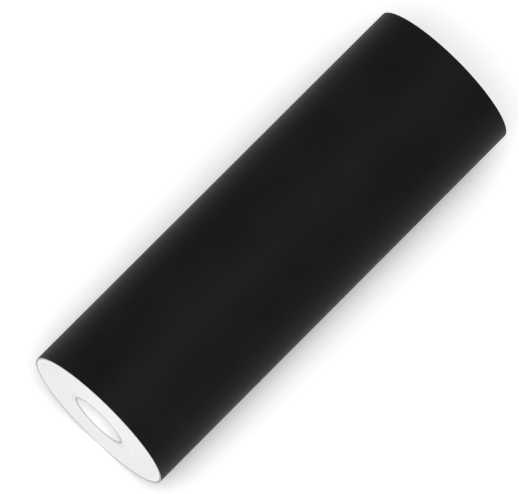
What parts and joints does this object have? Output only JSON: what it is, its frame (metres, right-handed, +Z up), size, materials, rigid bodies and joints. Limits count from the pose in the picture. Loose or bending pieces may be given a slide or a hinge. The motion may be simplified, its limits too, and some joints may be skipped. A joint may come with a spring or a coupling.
{
  "type": "roll of sign vinyl",
  "caption": "Roll of self-adhesive sign vinyl: black film on a white release liner, wound film side out on an open paper core, its free end held down by closing tapes.",
  "frame": {"origin": "the point on the floor under the middle of the roll, which lies on its side", "axes": "+X along the roll's axis towards its far end, +Y across the roll towards the side with the free end, +Z up"},
  "size_m": [0.63, 0.219, 0.2185],
  "materials": {
    "vinyl_film": "satin",
    "adhesive": "gloss",
    "release_liner": "satin",
    "core_board": "matte",
    "core_inner_paper": "matte",
    "label_paper": "matte",
    "start_tape": "matte",
    "closing_tape": "satin"
  },
  "bodies": {
    "roll": {"core_inner_ply": "core_inner_paper", "core_body_ply_1": "core_board", "core_body_ply_2": "core_board", "core_body_ply_3": "core_board", "core_outer_ply": "core_board", "core_label": "label_paper", "start_tape_left": "start_tape", "start_tape_right": "start_tape", "web_film": "vinyl_film", "web_adhesive": "adhesive", "web_liner": "release_liner"},
    "tail_1": {"tail_film_1": "vinyl_film", "tail_adhesive_1": "adhesive", "tail_liner_1": "release_liner"},
    "tail_2": {"tail_film_2": "vinyl_film", "tail_adhesive_2": "adhesive", "tail_liner_2": "release_liner"},
    "tail_3": {"tail_film_3": "vinyl_film", "tail_adhesive_3": "adhesive"},
    "tail_4": {"tail_film_4": "vinyl_film", "tail_adhesive_4": "adhesive"},
    "tail_5": {"tail_film_5": "vinyl_film", "tail_adhesive_5": "adhesive", "tape_left_anchor": "closing_tape", "tape_right_anchor": "closing_tape"},
    "liner_3": {"tail_liner_3": "release_liner"},
    "liner_4": {"tail_liner_4": "release_liner"},
    "liner_5": {"tail_liner_5": "release_liner"},
    "tape_left": {"tape_left_flap": "closing_tape"},
    "tape_right": {"tape_right_flap": "closing_tape"}
  },
  "joints": [
    {"name": "tail_uncurl_1", "type": "hinge", "parent": "roll", "child": "tail_1", "pos_m": [0, 0.00716, 0], "axis": [-1, 0, 0], "range_deg": [0, 7.5]},
    {"name": "tail_uncurl_2", "type": "hinge", "parent": "tail_1", "child": "tail_2", "pos_m": [0, 0.0352, 0.00558], "axis": [-1, 0, 0], "range_deg": [0, 12]},
    {"name": "tail_uncurl_3", "type": "hinge", "parent": "tail_2", "child": "tail_3", "pos_m": [0, 0.06084, 0.01822], "axis": [-1, 0, 0], "range_deg": [0, 12]},
    {"name": "tail_uncurl_4", "type": "hinge", "parent": "tail_3", "child": "tail_4", "pos_m": [0, 0.08233, 0.03707], "axis": [-1, 0, 0], "range_deg": [0, 12]},
    {"name": "tail_uncurl_5", "type": "hinge", "parent": "tail_4", "child": "tail_5", "pos_m": [0, 0.09821, 0.06084], "axis": [-1, 0, 0], "range_deg": [0, 12]},
    {"name": "liner_peel_3", "type": "hinge", "parent": "tail_2", "child": "liner_3", "pos_m": [0, 0.06003, 0.01943], "axis": [1, 0, 0], "range_deg": [0, 3]},
    {"name": "liner_peel_4", "type": "hinge", "parent": "liner_3", "child": "liner_4", "pos_m": [0, 0.08124, 0.03802], "axis": [1, 0, 0], "range_deg": [0, 18]},
    {"name": "liner_peel_5", "type": "hinge", "parent": "liner_4", "child": "liner_5", "pos_m": [0, 0.09691, 0.06148], "axis": [1, 0, 0], "range_deg": [0, 22]},
    {"name": "tape_left_peel", "type": "hinge", "parent": "tail_5", "child": "tape_left", "pos_m": [-0.19, 0.10784, 0.08782], "axis": [-1, 0, 0], "range_deg": [0, 80]},
    {"name": "tape_right_peel", "type": "hinge", "parent": "tail_5", "child": "tape_right", "pos_m": [0.19, 0.10784, 0.08782], "axis": [-1, 0, 0], "range_deg": [0, 80]}
  ],
  "couplings": [
    {"joint": "tail_uncurl_2", "follows": "tail_uncurl_1", "ratio": 1.6},
    {"joint": "tail_uncurl_3", "follows": "tail_uncurl_1", "ratio": 1.6},
    {"joint": "tail_uncurl_4", "follows": "tail_uncurl_1", "ratio": 1.6},
    {"joint": "tail_uncurl_5", "follows": "tail_uncurl_1", "ratio": 1.6},
    {"joint": "liner_peel_3", "follows": "tail_uncurl_1", "ratio": 0.4},
    {"joint": "liner_peel_4", "follows": "tail_uncurl_1", "ratio": 2.4},
    {"joint": "liner_peel_5", "follows": "tail_uncurl_1", "ratio": 2.9}
  ]
}
